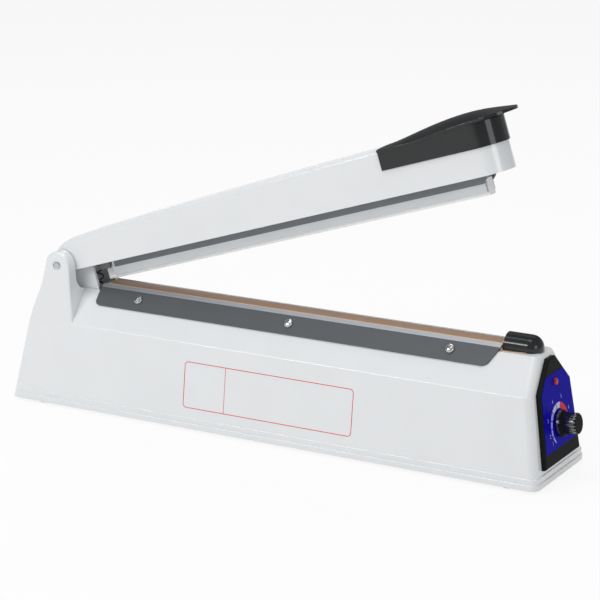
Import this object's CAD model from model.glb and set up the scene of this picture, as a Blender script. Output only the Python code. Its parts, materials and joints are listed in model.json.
import json
import math
import random

import bmesh
import bpy
from mathutils import Matrix, Vector


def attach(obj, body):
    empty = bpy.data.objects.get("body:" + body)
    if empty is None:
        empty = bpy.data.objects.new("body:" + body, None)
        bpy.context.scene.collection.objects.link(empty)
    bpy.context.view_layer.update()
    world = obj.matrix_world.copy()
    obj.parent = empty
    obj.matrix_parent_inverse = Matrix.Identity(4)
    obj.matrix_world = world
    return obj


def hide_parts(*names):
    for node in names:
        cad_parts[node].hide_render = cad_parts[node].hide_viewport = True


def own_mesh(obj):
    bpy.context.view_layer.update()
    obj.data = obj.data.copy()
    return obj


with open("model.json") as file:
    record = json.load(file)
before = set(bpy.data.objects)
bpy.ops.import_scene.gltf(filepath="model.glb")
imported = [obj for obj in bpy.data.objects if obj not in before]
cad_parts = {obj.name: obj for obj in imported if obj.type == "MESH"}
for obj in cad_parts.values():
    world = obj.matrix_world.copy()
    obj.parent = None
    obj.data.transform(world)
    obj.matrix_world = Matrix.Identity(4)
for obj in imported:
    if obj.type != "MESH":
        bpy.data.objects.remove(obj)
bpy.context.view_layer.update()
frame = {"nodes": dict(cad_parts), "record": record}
nodes = frame["nodes"]
random.seed(7)

MM = 0.001

# Sizes of the part that the pieces below are fitted to, in millimetres
BASE_MID = -6.4284
DECK_Z = 87.0
JAW_LEFT = -156.4284
JAW_RIGHT = 165.5716
RIM_TOP = 10.0
WALL_FOOT_HALF = 40.5
BREAK_Z = 63.7
BREAK_HALF = 33.7
DECK_HALF = 13.5
SHOULDER = (DECK_Z - BREAK_Z) / (BREAK_HALF - DECK_HALF)
LIP_LEAN = math.radians(21.0)
LIP_DROP = math.tan(LIP_LEAN)
LIP_BEND_Z = 88.7
LIP_BEND_HALF = DECK_HALF - (LIP_BEND_Z - DECK_Z) / SHOULDER
CLOTH = 0.3
FACE_LEAN = math.radians(8.5)
FACE_FOOT_X = 208.2673
FACE_FOOT_Z = 2.0
FASCIA_FRONT = 3.65
KNOB_HEIGHT = 36.5
KNOB_BACK = 4.45
SKIRT_RADIUS = 9.3


def linear(value):
    """One sRGB channel, 0 to 255, as a linear value."""
    value /= 255
    return value / 12.92 if value <= 0.04045 else ((value + 0.055) / 1.055) ** 2.4


def rgb(red, green, blue):
    """An sRGB colour as a linear RGBA tuple."""
    return (linear(red), linear(green), linear(blue), 1.0)


# Materials

COAT_ROUGHNESS = 0.12
KNOB_COAT_IOR = 2.1
STRIPE_SCALE = 320.0
WINDING_SCALE = 260.0
SIDE_GLOSS = 0.8


def new_node(tree, kind, **values):
    """A shader node with its sockets and settings filled in."""
    node = tree.nodes.new(kind)
    for key, value in values.items():
        if key in node.inputs:
            node.inputs[key].default_value = value
        else:
            setattr(node, key, value)
    return node


def shade(color, share):
    """A colour made darker or lighter by a share."""
    return tuple(max(0.0, min(1.0, c * (1 + share))) for c in color[:3]) + (1.0,)


def surface(
    name,
    color,
    roughness,
    metallic=0.0,
    tint=0.03,
    cloud=30.0,
    grain=900.0,
    depth=0.00001,
    stretch=(1.0, 1.0, 1.0),
    span=0.06,
    specular=0.5,
    pattern=None,
):
    """A moulded, painted or metal surface: cloudy colour, uneven gloss and a fine relief."""
    mat = bpy.data.materials.new(name)
    mat.use_nodes = True
    tree = mat.node_tree
    shader = tree.nodes["Principled BSDF"]
    shader.inputs["Metallic"].default_value = metallic
    shader.inputs["Coat Roughness"].default_value = COAT_ROUGHNESS
    shader.inputs["Specular IOR Level"].default_value = specular
    coord = new_node(tree, "ShaderNodeTexCoord")
    mapping = new_node(tree, "ShaderNodeMapping", Scale=stretch)
    tree.links.new(coord.outputs["Object"], mapping.inputs["Vector"])
    clouds = new_node(tree, "ShaderNodeTexNoise", Scale=cloud, Detail=3.0)
    tree.links.new(coord.outputs["Object"], clouds.inputs["Vector"])
    fine = new_node(tree, "ShaderNodeTexNoise", Scale=grain, Detail=4.0)
    tree.links.new(mapping.outputs["Vector"], fine.inputs["Vector"])
    ramp = new_node(tree, "ShaderNodeValToRGB")
    ramp.color_ramp.elements[0].position = 0.3
    ramp.color_ramp.elements[0].color = shade(color, -tint)
    ramp.color_ramp.elements[1].position = 0.7
    ramp.color_ramp.elements[1].color = shade(color, tint)
    tree.links.new(clouds.outputs["Fac"], ramp.inputs["Fac"])
    gloss = new_node(tree, "ShaderNodeMapRange")
    gloss.inputs["To Min"].default_value = max(0.02, roughness - span)
    gloss.inputs["To Max"].default_value = min(1.0, roughness + span)
    tree.links.new(fine.outputs["Fac"], gloss.inputs["Value"])
    tree.links.new(gloss.outputs["Result"], shader.inputs["Roughness"])
    relief = new_node(tree, "ShaderNodeBump", Strength=1.0, Distance=depth)
    tree.links.new(fine.outputs["Fac"], relief.inputs["Height"])
    tree.links.new(relief.outputs["Normal"], shader.inputs["Normal"])
    colour = ramp.outputs["Color"]
    if pattern:
        colour, relief_out = pattern(tree, coord, colour, relief)
        tree.links.new(relief_out, shader.inputs["Normal"])
    tree.links.new(colour, shader.inputs["Base Color"])
    return mat


def mixed(tree, factor, first, second):
    """Colour mixed from two sockets or colours by a factor socket."""
    mix = tree.nodes.new("ShaderNodeMix")
    mix.data_type = "RGBA"
    tree.links.new(factor, mix.inputs[0])
    for socket, value in ((mix.inputs[6], first), (mix.inputs[7], second)):
        if isinstance(value, tuple):
            socket.default_value = value
        else:
            tree.links.new(value, socket)
    return mix.outputs[2]


def waves(tree, coord, direction, scale):
    """Even parallel stripes in object space; about 3.2 of them per metre for each unit of scale."""
    node = new_node(tree, "ShaderNodeTexWave", Scale=scale)
    node.wave_type = "BANDS"
    node.bands_direction = direction
    node.inputs["Distortion"].default_value = 0.0
    tree.links.new(coord.outputs["Object"], node.inputs["Vector"])
    return node.outputs["Fac"]


def math_node(tree, operation, first, second):
    """One math node on two sockets or values."""
    node = tree.nodes.new("ShaderNodeMath")
    node.operation = operation
    for socket, value in ((node.inputs[0], first), (node.inputs[1], second)):
        if isinstance(value, (int, float)):
            socket.default_value = value
        else:
            tree.links.new(value, socket)
    return node.outputs[0]


def facing(tree, coord, axis, low, high):
    """How far a surface faces along one of the part's own axes, from 0 at low to 1 at high."""
    split = tree.nodes.new("ShaderNodeSeparateXYZ")
    tree.links.new(coord.outputs["Normal"], split.inputs[0])
    span = new_node(tree, "ShaderNodeMapRange")
    span.inputs["From Min"].default_value = low
    span.inputs["From Max"].default_value = high
    tree.links.new(split.outputs[axis], span.inputs["Value"])
    return span.outputs["Result"]


def weave(tree, coord, colour, relief):
    """Coated glass cloth with crossing threads half a millimetre wide, browned on top by the heat."""
    along = waves(tree, coord, "X", STRIPE_SCALE)
    across = waves(tree, coord, "Y", STRIPE_SCALE)
    threads = math_node(tree, "MAXIMUM", along, across)
    bump = new_node(tree, "ShaderNodeBump", Strength=1.0, Distance=0.00004)
    tree.links.new(threads, bump.inputs["Height"])
    tree.links.new(relief.outputs["Normal"], bump.inputs["Normal"])
    top = facing(tree, coord, "Z", low=0.94, high=0.99)
    browned = mixed(tree, top, colour, rgb(160, 124, 97))
    cloth_colour = mixed(tree, threads, rgb(150, 118, 92), browned)
    return cloth_colour, bump.outputs["Normal"]


def rubbed_lip(tree, coord, colour, relief):
    """Dark coating rubbed pale where bags slide over the lip and its edge."""
    top = facing(tree, coord, "Z", low=0.75, high=0.88)
    edge = facing(tree, coord, "Y", low=-0.85, high=-0.92)
    lip = math_node(tree, "MAXIMUM", top, edge)
    return mixed(tree, lip, colour, rgb(168, 172, 179)), relief.outputs["Normal"]


def glossy_sides(tree, coord, colour, relief):
    """Moulding with polished sides and a duller top."""
    top = facing(tree, coord, "Z", low=0.55, high=0.85)
    sides = math_node(tree, "MULTIPLY", math_node(tree, "SUBTRACT", 1.0, top), SIDE_GLOSS)
    tree.links.new(sides, tree.nodes["Principled BSDF"].inputs["Coat Weight"])
    return colour, relief.outputs["Normal"]


def glossy_flutes(tree, coord, colour, relief):
    """Knob with polished flutes and a duller end."""
    end = facing(tree, coord, "X", low=0.1, high=0.3)
    flutes = math_node(tree, "SUBTRACT", 1.0, end)
    tree.links.new(flutes, tree.nodes["Principled BSDF"].inputs["Coat Weight"])
    return colour, relief.outputs["Normal"]


def laminations(tree, coord, colour, relief):
    """Edges of the stacked core sheets."""
    lines = waves(tree, coord, "Y", STRIPE_SCALE)
    bump = new_node(tree, "ShaderNodeBump", Strength=1.0, Distance=0.0001)
    tree.links.new(lines, bump.inputs["Height"])
    tree.links.new(relief.outputs["Normal"], bump.inputs["Normal"])
    return mixed(tree, lines, rgb(60, 60, 62), colour), bump.outputs["Normal"]


def windings(tree, coord, colour, relief):
    """Varnished copper wire laid in turns around the coil."""
    lines = waves(tree, coord, "Z", WINDING_SCALE)
    bump = new_node(tree, "ShaderNodeBump", Strength=1.0, Distance=0.0003)
    tree.links.new(lines, bump.inputs["Height"])
    tree.links.new(relief.outputs["Normal"], bump.inputs["Normal"])
    return mixed(tree, lines, rgb(90, 48, 20), colour), bump.outputs["Normal"]


MATERIALS = {
    "housing_plastic": surface(
        "housing_plastic", rgb(230, 232, 234), 0.2, tint=0.012, depth=0.000004, span=0.04, specular=0.9
    ),
    "steel_zinc": surface(
        "steel_zinc", rgb(196, 197, 200), 0.26, metallic=1.0, tint=0.08, cloud=240.0, grain=1400.0
    ),
    "steel_plate": surface("steel_plate", rgb(186, 189, 192), 0.42, metallic=0.6, tint=0.04, cloud=60.0),
    "rubber_black": surface("rubber_black", rgb(38, 38, 40), 0.72, tint=0.12, cloud=120.0, depth=0.00004),
    "spring_steel": surface("spring_steel", rgb(96, 96, 100), 0.34, metallic=1.0, tint=0.12, cloud=300.0),
    "clamp_dark": surface(
        "clamp_dark",
        rgb(86, 89, 93),
        0.4,
        metallic=0.15,
        tint=0.03,
        cloud=45.0,
        grain=1600.0,
        depth=0.000012,
        pattern=rubbed_lip,
    ),
    "channel_dark": surface(
        "channel_dark",
        rgb(120, 123, 127),
        0.38,
        metallic=0.4,
        tint=0.06,
        grain=1200.0,
        stretch=(0.05, 1.0, 1.0),
    ),
    "aluminium": surface(
        "aluminium",
        rgb(204, 208, 211),
        0.34,
        metallic=0.85,
        tint=0.03,
        grain=2600.0,
        stretch=(0.03, 1.0, 1.0),
        depth=0.000006,
    ),
    "silicone": surface("silicone", rgb(250, 250, 247), 0.5, tint=0.03, cloud=90.0, depth=0.00002),
    "ptfe": surface(
        "ptfe", rgb(230, 202, 176), 0.3, tint=0.06, cloud=50.0, depth=0.00001, pattern=weave
    ),
    "bakelite": surface("bakelite", rgb(140, 96, 62), 0.48, tint=0.12, cloud=90.0, stretch=(0.1, 1.0, 1.0)),
    "element": surface(
        "element", rgb(160, 156, 150), 0.3, metallic=1.0, tint=0.1, grain=2400.0, stretch=(0.03, 1, 1)
    ),
    "black_plastic": surface(
        "black_plastic", rgb(28, 31, 32), 0.4, tint=0.12, depth=0.00001, specular=0.1, pattern=glossy_sides
    ),
    "black_satin": surface("black_satin", rgb(30, 32, 31), 0.42, tint=0.15, depth=0.00001, specular=0.02),
    "knob_black": surface(
        "knob_black", rgb(24, 24, 25), 0.4, tint=0.12, depth=0.000006, specular=0.02, pattern=glossy_flutes
    ),
    "switch_plastic": surface("switch_plastic", rgb(34, 34, 37), 0.5, tint=0.15, cloud=200.0),
    "button_plastic": surface("button_plastic", rgb(176, 40, 34), 0.32, tint=0.08, cloud=400.0),
    "fascia_blue": surface(
        "fascia_blue",
        rgb(18, 10, 158),
        0.4,
        tint=0.06,
        cloud=60.0,
        grain=2200.0,
        depth=0.000005,
        specular=0.02,
    ),
    "lamp_red": surface("lamp_red", rgb(176, 4, 14), 0.2, tint=0.15, cloud=500.0),
    "brass": surface("brass", rgb(205, 170, 96), 0.3, metallic=1.0, tint=0.1, cloud=300.0),
    "board_green": surface("board_green", rgb(42, 110, 62), 0.42, tint=0.12, cloud=400.0, depth=0.00002),
    "relay_blue": surface("relay_blue", rgb(40, 86, 160), 0.3, tint=0.06, cloud=200.0),
    "capacitor_sleeve": surface("capacitor_sleeve", rgb(36, 40, 66), 0.28, tint=0.1, cloud=200.0),
    "core_steel": surface(
        "core_steel", rgb(112, 113, 116), 0.5, metallic=0.7, tint=0.1, pattern=laminations
    ),
    "coil_copper": surface("coil_copper", rgb(176, 104, 48), 0.36, tint=0.1, pattern=windings),
    "print_red": surface("print_red", rgb(222, 34, 42), 0.4, tint=0.05, cloud=300.0, specular=0.1),
    "print_white": surface("print_white", rgb(206, 206, 240), 0.4, tint=0.03, cloud=300.0, specular=0.1),
    "print_lilac": surface("print_lilac", rgb(164, 162, 232), 0.4, tint=0.03, cloud=300.0, specular=0.1),
}

knob_shader = MATERIALS["knob_black"].node_tree.nodes["Principled BSDF"]
knob_shader.inputs["Coat IOR"].default_value = KNOB_COAT_IOR

# The panel's frame is duller than the other black mouldings, and so is the knob's end
OWN_BLACK = {"panel_bezel": "black_satin", "timer_knob": "knob_black"}

for entry in frame["record"]["subparts"]:
    node = nodes[entry["node"]]
    finish = OWN_BLACK.get(entry["node"], entry["material_slot"])
    for slot in node.material_slots:
        slot.material = MATERIALS[finish]

# Mesh helpers


def piece(name, bm, slot, body, smooth=None):
    """A finished mesh piece that rides on a body; smooth is an angle in degrees."""
    mesh = bpy.data.meshes.new(name)
    bm.normal_update()
    if smooth is not None:
        for face in bm.faces:
            face.smooth = True
        for edge in bm.edges:
            if len(edge.link_faces) == 2 and edge.calc_face_angle(0.0) > math.radians(smooth):
                edge.smooth = False
    bm.to_mesh(mesh)
    bm.free()
    obj = bpy.data.objects.new(name, mesh)
    bpy.context.collection.objects.link(obj)
    mesh.materials.append(MATERIALS[slot])
    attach(obj, body)
    return obj


def lathe(bm, profile, segments, matrix):
    """Surface of revolution around local Z from (radius, height) points, added to bm."""
    rings = []
    for radius, height in profile:
        if radius < 1e-9:
            rings.append([bm.verts.new(matrix @ Vector((0, 0, height)))])
            continue
        ring = []
        for i in range(segments):
            turn = 2 * math.pi * i / segments
            point = Vector((radius * math.cos(turn), radius * math.sin(turn), height))
            ring.append(bm.verts.new(matrix @ point))
        rings.append(ring)
    for low, high in zip(rings[:-1], rings[1:]):
        for i in range(segments):
            j = (i + 1) % segments
            if len(low) == 1:
                bm.faces.new((low[0], high[i], high[j]))
            elif len(high) == 1:
                bm.faces.new((low[i], low[j], high[0]))
            else:
                bm.faces.new((low[i], low[j], high[j], high[i]))


def axis_matrix(origin, axis):
    """Places local Z along an axis at an origin given in millimetres."""
    turn = Vector((0, 0, 1)).rotation_difference(Vector(axis).normalized()).to_matrix().to_4x4()
    return Matrix.Translation(Vector(origin) * MM) @ turn


def cross_head(bm, matrix, radius, height, shank, length, turn):
    """Pan-head screw with a cross recess; the head's underside is at local Z zero."""
    segments = 40
    arm = 0.62 * radius
    slim = 0.13 * radius
    floor = 0.42 * height
    taper = 0.72
    shank_line = [(0.0, -length), (0.8 * shank, -length), (shank, -length + 0.3 * shank), (shank, 0.0)]
    dome = [(1.0, 0.0), (1.0, 0.35), (0.94, 0.62), (0.78, 0.86)]
    profile = shank_line + [(across * radius, up * height) for across, up in dome]
    spin = matrix @ Matrix.Rotation(turn, 4, "Z")
    lathe(bm, [(r * MM, h * MM) for r, h in profile], segments, spin)
    rim = [v for v in bm.verts if v.is_valid][-segments:]
    cross = []
    for quarter in range(4):
        angle = quarter * math.pi / 2
        cosine, sine = math.cos(angle), math.sin(angle)
        for x, y in ((slim, slim), (slim, arm), (-slim, arm)):
            cross.append((x * cosine - y * sine, x * sine + y * cosine))
    cross.sort(key=lambda p: math.atan2(p[1], p[0]))
    top = [bm.verts.new(spin @ Vector((x * MM, y * MM, height * MM))) for x, y in cross]
    foot = [bm.verts.new(spin @ Vector((taper * x * MM, taper * y * MM, floor * MM))) for x, y in cross]
    count = len(top)
    for i in range(count):
        j = (i + 1) % count
        bm.faces.new((foot[i], foot[j], top[j], top[i]))
    bm.faces.new(foot)
    edges = []
    for ring in (rim, top):
        for i in range(len(ring)):
            edge = bm.edges.get((ring[i], ring[(i + 1) % len(ring)]))
            edges.append(edge or bm.edges.new((ring[i], ring[(i + 1) % len(ring)])))
    bmesh.ops.bridge_loops(bm, edges=edges)


def screws(name, places, radius, height, shank, length, replaced, slot="steel_zinc", body="base"):
    """A set of cross-head screws from (origin, axis) places, in the place of a CAD node."""
    bm = bmesh.new()
    for origin, axis in places:
        turn = random.uniform(0, math.pi / 2)
        cross_head(bm, axis_matrix(origin, axis), radius, height, shank, length, turn)
    bmesh.ops.recalc_face_normals(bm, faces=bm.faces)
    obj = piece(name, bm, slot, body, smooth=35)
    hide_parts(replaced)


def face_point(side, height, depth=FASCIA_FRONT):
    """Point of the timer panel, in metres, from its side and height and a depth outside the wall."""
    x = FACE_FOOT_X + depth * math.cos(FACE_LEAN) - height * math.sin(FACE_LEAN)
    z = FACE_FOOT_Z + depth * math.sin(FACE_LEAN) + height * math.cos(FACE_LEAN)
    return Vector((x, side, z)) * MM


def ribbon(bm, outer, inner, place, low, high, closed=False):
    """Flat printed band between two matching lines of points, raised from low to high."""
    rows = []
    for line, level in ((outer, low), (outer, high), (inner, high), (inner, low)):
        rows.append([bm.verts.new(place(a, b, level)) for a, b in line])
    count = len(outer)
    steps = count if closed else count - 1
    for first, second in zip(rows, rows[1:] + rows[:1]):
        for i in range(steps):
            j = (i + 1) % count
            bm.faces.new((first[i], first[j], second[j], second[i]))
    if not closed:
        bm.faces.new([row[0] for row in rows])
        bm.faces.new([row[-1] for row in reversed(rows)])


# Screws with their cross recesses

CLAMP_STATIONS = (-116.5, 10.5, 137.5)
CLAMP_SEAT_Z = 84.0
PLATE_SHEET = 1.2
FOOT_REACH = 191.0
FOOT_HALF = 29.5
FOOT_SEAT_Z = 2.4
TRANSFORMER_REACH = 85
STRAP_HALF = 34.5
BASE_PLATE_LOW = 4.0

shoulder_angle = math.atan(SHOULDER)
clamp_places = []
for x in CLAMP_STATIONS:
    for side in (-1, 1):
        axis = Vector((0, side * math.sin(shoulder_angle), math.cos(shoulder_angle)))
        half = DECK_HALF + (DECK_Z - CLAMP_SEAT_Z) / SHOULDER
        origin = Vector((x + BASE_MID, side * half, CLAMP_SEAT_Z)) + axis * PLATE_SHEET
        clamp_places.append((origin, axis))
foot_places = []
for x in (-FOOT_REACH, FOOT_REACH):
    for y in (-FOOT_HALF, FOOT_HALF):
        foot_places.append(((BASE_MID + x, y, FOOT_SEAT_Z), (0, 0, -1)))
strap_places = []
for side in (-1, 1):
    x = BASE_MID + TRANSFORMER_REACH + side * STRAP_HALF
    strap_places.append(((x, 0, BASE_PLATE_LOW), (0, 0, -1)))

screws(
    "clamp_screw_set",
    clamp_places,
    radius=3.5,
    height=2.2,
    shank=1.5,
    length=9.0,
    replaced="clamp_screws",
)
screws(
    "foot_screw_set",
    foot_places,
    radius=3.4,
    height=1.8,
    shank=1.75,
    length=16.0,
    replaced="foot_screws",
)
screws(
    "transformer_screw_set",
    strap_places,
    radius=3.2,
    height=1.8,
    shank=1.75,
    length=6.0,
    replaced="transformer_screws",
)

# Coil springs, which shorten as the arm closes

ARM_ANGLE = math.radians(17.7)
ARM_ALONG = Vector((math.cos(ARM_ANGLE), 0, math.sin(ARM_ANGLE)))
ARM_UP = Vector((-math.sin(ARM_ANGLE), 0, math.cos(ARM_ANGLE)))
PIN = Vector((-185.4284, 0, 106.2))
BRIDGE_STATIONS = {"inner_bar_spring": 112.0, "outer_bar_spring": 272.0}
CHANNEL_TOP = 5.0
BRIDGE_HEIGHT = 6.0
SPRING_SEAT = Vector((PIN.x + 14.2, 0, 75.5))
SPRING_HEIGHT = 33.136
FLAT_TURN = 0.5
STEPS_PER_TURN = 28
WIRE_SIDES = 10
BAR_SPRING = {"radius": 4.4, "wire": 0.9, "turns": 3.5}
RETURN_SPRING = {"radius": 5.0, "wire": 1.3, "turns": 6.0}


def coil_spring(name, foot, axis, height, body, radius, wire, turns):
    """Helical spring with flat end turns, standing on a foot point, in the place of its CAD node."""
    place = axis_matrix(foot, axis)
    steps = int(STEPS_PER_TURN * turns)
    bm = bmesh.new()
    rings = []
    for i in range(steps + 1):
        turn = turns * i / steps
        climb = max(0.0, min(1.0, (turn - FLAT_TURN) / (turns - 2 * FLAT_TURN)))
        angle = 2 * math.pi * turn
        out = Vector((math.cos(angle), math.sin(angle), 0))
        centre = out * radius + Vector((0, 0, wire / 2 + (height - wire) * climb))
        ring = []
        for k in range(WIRE_SIDES):
            roll = 2 * math.pi * k / WIRE_SIDES
            offset = out * math.cos(roll) + Vector((0, 0, math.sin(roll)))
            ring.append(bm.verts.new(place @ ((centre + offset * wire / 2) * MM)))
        rings.append(ring)
    for first, second in zip(rings[:-1], rings[1:]):
        for k in range(WIRE_SIDES):
            j = (k + 1) % WIRE_SIDES
            bm.faces.new((first[k], second[k], second[j], first[j]))
    bm.faces.new(rings[0])
    bm.faces.new(rings[-1])
    bmesh.ops.recalc_face_normals(bm, faces=bm.faces)
    spring = piece(name + "_coil", bm, "spring_steel", body, smooth=50)
    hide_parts(name)
    return spring


bar_spring_length = CHANNEL_TOP + BRIDGE_HEIGHT
for name, station in BRIDGE_STATIONS.items():
    foot = PIN + ARM_ALONG * station - ARM_UP * CHANNEL_TOP
    spring = coil_spring(name, foot, ARM_UP, bar_spring_length, "arm", **BAR_SPRING)
    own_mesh(spring)
spring = coil_spring("return_spring", SPRING_SEAT, (0, 0, 1), SPRING_HEIGHT, "base", **RETURN_SPRING)
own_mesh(spring)

# Printed outline of the label on the front wall

LABEL_LEFT, LABEL_RIGHT = -71.4, 66.8
LABEL_LOW, LABEL_HIGH = 7.0, 41.0
LABEL_CORNER = 3.0
LABEL_LINE = 0.5
LABEL_PROUD = 0.04
DIVIDER_LEFT, DIVIDER_RIGHT = -37.3, -36.9

wall_run = Vector((0, WALL_FOOT_HALF - BREAK_HALF, BREAK_Z - RIM_TOP)).normalized()
wall_out = Vector((0, -wall_run.z, wall_run.y))


def wall_point(x, climb, level):
    """Point of the front wall, in metres, from a distance up the wall and a level outside it."""
    return (Vector((x, -WALL_FOOT_HALF, RIM_TOP)) + wall_run * climb + wall_out * level) * MM


def rounded(left, right, low, high, radius, steps=6):
    """Points of a rounded rectangle, anticlockwise."""
    points = []
    corners = ((right, high, 0), (left, high, 90), (left, low, 180), (right, low, 270))
    for x, y, start in corners:
        cx = x - radius if start in (0, 270) else x + radius
        cy = y - radius if start in (0, 90) else y + radius
        for i in range(steps + 1):
            turn = math.radians(start + 90 * i / steps)
            points.append((cx + radius * math.cos(turn), cy + radius * math.sin(turn)))
    return points


bm = bmesh.new()
outer = rounded(LABEL_LEFT, LABEL_RIGHT, LABEL_LOW, LABEL_HIGH, LABEL_CORNER)
inner_low = LABEL_LOW + LABEL_LINE
inner_high = LABEL_HIGH - LABEL_LINE
inner = rounded(
    LABEL_LEFT + LABEL_LINE, LABEL_RIGHT - LABEL_LINE, inner_low, inner_high, LABEL_CORNER - LABEL_LINE
)
ribbon(bm, outer, inner, wall_point, 0.0, LABEL_PROUD, closed=True)
outer = [(DIVIDER_LEFT, inner_low), (DIVIDER_LEFT, inner_high)]
inner = [(DIVIDER_RIGHT, inner_low), (DIVIDER_RIGHT, inner_high)]
ribbon(bm, outer, inner, wall_point, 0.0, LABEL_PROUD)
bmesh.ops.recalc_face_normals(bm, faces=bm.faces)
piece("label_outline", bm, "print_red", "base")

# Dial print on the fascia, with angles in degrees around the knob

DIAL_RADIUS = 14.7
DIAL_START = 231
RED_START = 72
RED_END = 17
NARROW_END = 13.7
WIDENING = 3.3
WIDENING_POWER = 0.8
DIAL_PROUD = 0.03
DIGIT_SIZE = 4.0
DIGIT_DEPTH = 0.015
DIGIT_PROUD = 0.016
DIAL_BANDS = {
    "print_lilac": [(DIAL_START, 207), (204, 184), (181, 160), (157, 135)],
    "print_white": [(132, 104), (101, 75)],
    "print_red": [(RED_START, RED_END)],
}


def dial_inner(angle):
    """Inner radius of the dial's band, which widens towards its hot end."""
    share = max(0.0, min(1.0, (DIAL_START - angle) / (DIAL_START - RED_START)))
    return NARROW_END - WIDENING * share**WIDENING_POWER


def arc_band(start, end, steps=24):
    """Outer and inner lines of the dial's band between two angles."""
    outer_line, inner_line = [], []
    for i in range(steps + 1):
        angle = start + (end - start) * i / steps
        turn = math.radians(angle)
        for line, radius in ((outer_line, DIAL_RADIUS), (inner_line, dial_inner(angle))):
            line.append((radius * math.cos(turn), KNOB_HEIGHT + radius * math.sin(turn)))
    return outer_line, inner_line


def panel_level(side, height, level):
    """Point of the fascia, in metres, from its side and height and a level above its face."""
    return face_point(side, height, FASCIA_FRONT + level)


for slot, spans in DIAL_BANDS.items():
    bm = bmesh.new()
    for start, end in spans:
        outer, inner = arc_band(start, end)
        ribbon(bm, outer, inner, panel_level, 0.0, DIAL_PROUD)
    bmesh.ops.recalc_face_normals(bm, faces=bm.faces)
    piece("dial_scale_" + slot.removeprefix("print_"), bm, slot, "base")


def print_text(name, text, side, height, size, slot):
    """Printed digit on the fascia, turned into a thin mesh."""
    curve = bpy.data.curves.new(name, "FONT")
    curve.body = text
    curve.size = size * MM
    curve.align_x = "CENTER"
    curve.align_y = "CENTER"
    curve.extrude = DIGIT_DEPTH * MM
    holder = bpy.data.objects.new(name + "_curve", curve)
    bpy.context.collection.objects.link(holder)
    bpy.context.view_layer.update()
    mesh = bpy.data.meshes.new_from_object(holder.evaluated_get(bpy.context.evaluated_depsgraph_get()))
    bpy.data.objects.remove(holder)
    up = Vector((-math.sin(FACE_LEAN), 0, math.cos(FACE_LEAN)))
    out = Vector((math.cos(FACE_LEAN), 0, math.sin(FACE_LEAN)))
    basis = Matrix((Vector((0, 1, 0)), up, out)).transposed().to_4x4()
    place = Matrix.Translation(face_point(side, height, FASCIA_FRONT + DIGIT_PROUD)) @ basis
    mesh.transform(place)
    mesh.name = name
    mesh.materials.clear()
    mesh.materials.append(MATERIALS[slot])
    obj = bpy.data.objects.new(name, mesh)
    bpy.context.collection.objects.link(obj)
    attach(obj, "base")


DIGITS = (
    ("1", -14.3, 26.1),
    ("2", -17.2, 31.8),
    ("3", -18.4, 43.0),
    ("4", -8.0, 53.5),
    ("5", 6.6, 53.8),
    ("6", 16.7, 43.5),
)
for text, side, height in DIGITS:
    print_text("dial_digit_" + text, text, side, height, DIGIT_SIZE, "print_lilac")

# Pointer mark on the knob's skirt

POINTER_TURN = math.radians(158)
POINTER_HALF = 0.8
POINTER_PROUD = 0.05
# Radius and depth above the skirt's back, from the skirt's side to its bevel
POINTER_LINE = ((SKIRT_RADIUS, 0.6), (SKIRT_RADIUS, 2.1), (8.9, 2.6))

bm = bmesh.new()
rows = []
for radius, depth in POINTER_LINE:
    for lift in (0.0, POINTER_PROUD):
        for sideways in (-POINTER_HALF, POINTER_HALF):
            turn = POINTER_TURN + sideways / radius
            reach = radius + lift
            side = reach * math.cos(turn)
            height = KNOB_HEIGHT + reach * math.sin(turn)
            rows.append(bm.verts.new(face_point(side, height, KNOB_BACK + depth + lift)))
for i in range(0, len(rows) - 4, 4):
    low_a, low_b, high_a, high_b = rows[i : i + 4]
    next_low_a, next_low_b, next_high_a, next_high_b = rows[i + 4 : i + 8]
    bm.faces.new((high_a, high_b, next_high_b, next_high_a))
    bm.faces.new((low_b, low_a, next_low_a, next_low_b))
    bm.faces.new((low_a, high_a, next_high_a, next_low_a))
    bm.faces.new((high_b, low_b, next_low_b, next_high_b))
bm.faces.new((rows[0], rows[1], rows[3], rows[2]))
bm.faces.new((rows[-2], rows[-1], rows[-3], rows[-4]))
bmesh.ops.recalc_face_normals(bm, faces=bm.faces)
piece("knob_pointer", bm, "print_white", "knob")

# Woven cloth over the sealing edge, with its two tongues on the deck

CLOTH_COLUMNS = 150
RIPPLE = 0.02
WING_HALVES = (11.4, 9.4, 7.55)
# Side and height of the cloth's inner face from the ridge's side to the top
RIDGE_LINE = [(7.38, 90.45), (7.2, 90.8), (6.2, 90.95), (5.2, 91.1), (3.4, 91.2), (1.7, 91.3)]
RIDGE_TOP = 91.3
FREE_FROM = 4
TONGUE_INNER = 5.0
TONGUE_OUTER = 12.7
TONGUE_STRAIGHT = 9.0
TONGUE_LENGTH = 18.0
TONGUE_TAPER = 0.4
TONGUE_SEAT = 0.01
CURL = 0.25
CURL_START = 13.0
# Distance past the edge's end, and the share of the edge's height that is left there
TONGUE_STEPS = (
    (0.35, 0.55),
    (0.6, 0.25),
    (0.9, 0.05),
    (1.8, 0.0),
    (5.0, 0.0),
    (TONGUE_STRAIGHT, 0.0),
    (CURL_START, 0.0),
    (TONGUE_LENGTH, 0.0),
)


def lip_back(half):
    """Height of the clamp plates' lip at a distance from the middle."""
    return LIP_BEND_Z + (LIP_BEND_HALF - half) * LIP_DROP


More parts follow.
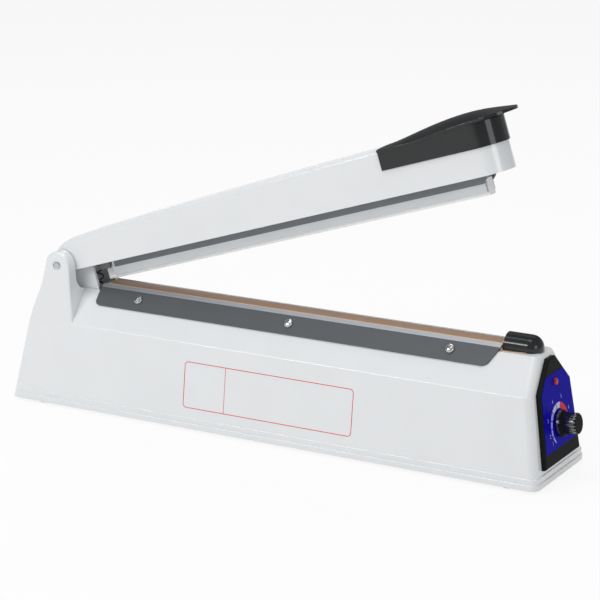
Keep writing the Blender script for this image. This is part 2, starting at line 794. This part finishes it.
wing = CLOTH / math.cos(LIP_LEAN)
half_section = [(half, lip_back(half) - wing) for half in WING_HALVES] + RIDGE_LINE
section = half_section + [(0.0, RIDGE_TOP)] + [(-y, z) for y, z in reversed(half_section)]
bm = bmesh.new()
rows = []
for i in range(CLOTH_COLUMNS + 1):
    x = JAW_LEFT + (JAW_RIGHT - JAW_LEFT) * i / CLOTH_COLUMNS
    row = []
    for k, (y, z) in enumerate(section):
        free = 1.0 if FREE_FROM <= k < len(section) - FREE_FROM else 0.0
        ripple = RIPPLE * math.sin(x * 0.9 + 1.3 * k) + RIPPLE * math.sin(x * 0.31 + 0.7 * k)
        row.append(bm.verts.new(Vector((x, y, z + free * abs(ripple))) * MM))
    rows.append(row)
for first, second in zip(rows[:-1], rows[1:]):
    for a in range(len(section) - 1):
        bm.faces.new((first[a], second[a], second[a + 1], first[a + 1]))
for side in (1, -1):
    picks = [k for k, (y, z) in enumerate(section) if side * y > TONGUE_INNER]
    picks.sort(key=lambda k: abs(section[k][0]))
    line = [rows[-1][k] for k in picks]
    starts = [section[k] for k in picks]
    widths = [abs(y) for y, z in starts]
    spread = []
    for width in widths:
        share = (width - widths[0]) / (widths[-1] - widths[0])
        spread.append(TONGUE_INNER + (TONGUE_OUTER - TONGUE_INNER) * share)
    for run, lift in TONGUE_STEPS:
        past = max(0.0, run - TONGUE_STRAIGHT) / (TONGUE_LENGTH - TONGUE_STRAIGHT)
        taper = 1.0 - past * TONGUE_TAPER
        new_line = []
        for (y, z), width in zip(starts, spread):
            reach = TONGUE_INNER + (width - TONGUE_INNER) * taper
            out = abs(y) + (reach - abs(y)) * min(1.0, (1.0 - lift) ** 2)
            height = DECK_Z + TONGUE_SEAT + (z - DECK_Z) * lift
            curl = CURL * max(0.0, run - CURL_START) / (TONGUE_LENGTH - CURL_START)
            new_line.append(bm.verts.new(Vector((JAW_RIGHT + run, side * out, height + curl)) * MM))
        for a in range(len(line) - 1):
            bm.faces.new((line[a], new_line[a], new_line[a + 1], line[a + 1]))
        line = new_line
bmesh.ops.recalc_face_normals(bm, faces=bm.faces)
top_face = max(bm.faces, key=lambda f: f.calc_center_median().z)
if top_face.normal.z < 0:
    bmesh.ops.reverse_faces(bm, faces=bm.faces)
cloth = piece("ptfe_cloth_sheet", bm, "ptfe", "base", smooth=60)
thick = cloth.modifiers.new("thickness", "SOLIDIFY")
thick.thickness = CLOTH * MM
thick.offset = 1.0
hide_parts("ptfe_cloth")

# Floor, light and camera, in metres

FLOOR_HALF = 6.0
FLOOR_WHITE = 0.88
ROOM_LIGHT = 0.38
MIDDLE = (0, 0, 0.1)
CAMERA_LENS = 136.08
CAMERA_PLACE = (0.77134, -1.3598, 0.5278)
CAMERA_TARGET = (0.00391, 0.0, 0.098)

bm = bmesh.new()
bmesh.ops.create_grid(bm, x_segments=1, y_segments=1, size=FLOOR_HALF)
floor_mesh = bpy.data.meshes.new("floor")
bm.to_mesh(floor_mesh)
bm.free()
floor = bpy.data.objects.new("floor", floor_mesh)
bpy.context.collection.objects.link(floor)
floor_mat = bpy.data.materials.new("floor_pale")
floor_mat.use_nodes = True
tree = floor_mat.node_tree
floor_shader = tree.nodes["Principled BSDF"]
floor_shader.inputs["Base Color"].default_value = (0.86, 0.86, 0.86, 1)
floor_shader.inputs["Roughness"].default_value = 0.9
glow = new_node(tree, "ShaderNodeEmission", Color=(1, 1, 1, 1), Strength=1.0)
path = new_node(tree, "ShaderNodeLightPath")
seen = math_node(tree, "MAXIMUM", path.outputs["Is Camera Ray"], path.outputs["Is Glossy Ray"])
seen = math_node(tree, "MAXIMUM", seen, path.outputs["Is Transmission Ray"])
share = math_node(tree, "MULTIPLY", seen, FLOOR_WHITE)
blend = tree.nodes.new("ShaderNodeMixShader")
tree.links.new(share, blend.inputs[0])
tree.links.new(floor_shader.outputs[0], blend.inputs[1])
tree.links.new(glow.outputs[0], blend.inputs[2])
tree.links.new(blend.outputs[0], tree.nodes["Material Output"].inputs["Surface"])
floor_mesh.materials.append(floor_mat)

world = bpy.data.worlds.new("studio")
bpy.context.scene.world = world
world.use_nodes = True
tree = world.node_tree
room = tree.nodes["Background"]
room.inputs["Color"].default_value = (0.97, 0.985, 1.0, 1)
room.inputs["Strength"].default_value = ROOM_LIGHT
white = new_node(tree, "ShaderNodeBackground", Color=(1, 1, 1, 1), Strength=1.0)
path = new_node(tree, "ShaderNodeLightPath")
seen = math_node(tree, "MAXIMUM", path.outputs["Is Camera Ray"], path.outputs["Is Transmission Ray"])
blend = tree.nodes.new("ShaderNodeMixShader")
tree.links.new(seen, blend.inputs[0])
tree.links.new(room.outputs[0], blend.inputs[1])
tree.links.new(white.outputs[0], blend.inputs[2])
tree.links.new(blend.outputs[0], tree.nodes["World Output"].inputs["Surface"])


def area_light(name, place, target, size, power, color=(1, 1, 1)):
    """Soft rectangular lamp aimed at a point."""
    data = bpy.data.lights.new(name, "AREA")
    data.shape = "RECTANGLE"
    data.size, data.size_y = size
    data.energy = power
    data.color = color
    lamp = bpy.data.objects.new(name, data)
    lamp.location = place
    lamp.rotation_euler = (Vector(target) - Vector(place)).to_track_quat("-Z", "Y").to_euler()
    bpy.context.collection.objects.link(lamp)


area_light("key", (-0.7, -1.45, 0.95), MIDDLE, (0.9, 0.26), 10.0, (1.0, 0.995, 0.985))
area_light("top", (-0.1, -0.4, 1.9), MIDDLE, (1.2, 0.6), 11.0)
area_light("fill", (1.5, -0.6, 0.5), (0.1, 0, 0.1), (0.6, 0.6), 3.0)
area_light("back", (-0.1, 1.0, 1.7), MIDDLE, (1.2, 0.6), 8.0)

camera_data = bpy.data.cameras.new("camera")
camera_data.sensor_width = 36.0
camera_data.lens = CAMERA_LENS
camera_data.clip_end = 50
camera = bpy.data.objects.new("camera", camera_data)
camera.location = CAMERA_PLACE
camera.rotation_euler = (Vector(CAMERA_TARGET) - camera.location).to_track_quat("-Z", "Y").to_euler()
bpy.context.collection.objects.link(camera)
bpy.context.scene.camera = camera
bpy.context.scene.view_settings.view_transform = "Standard"
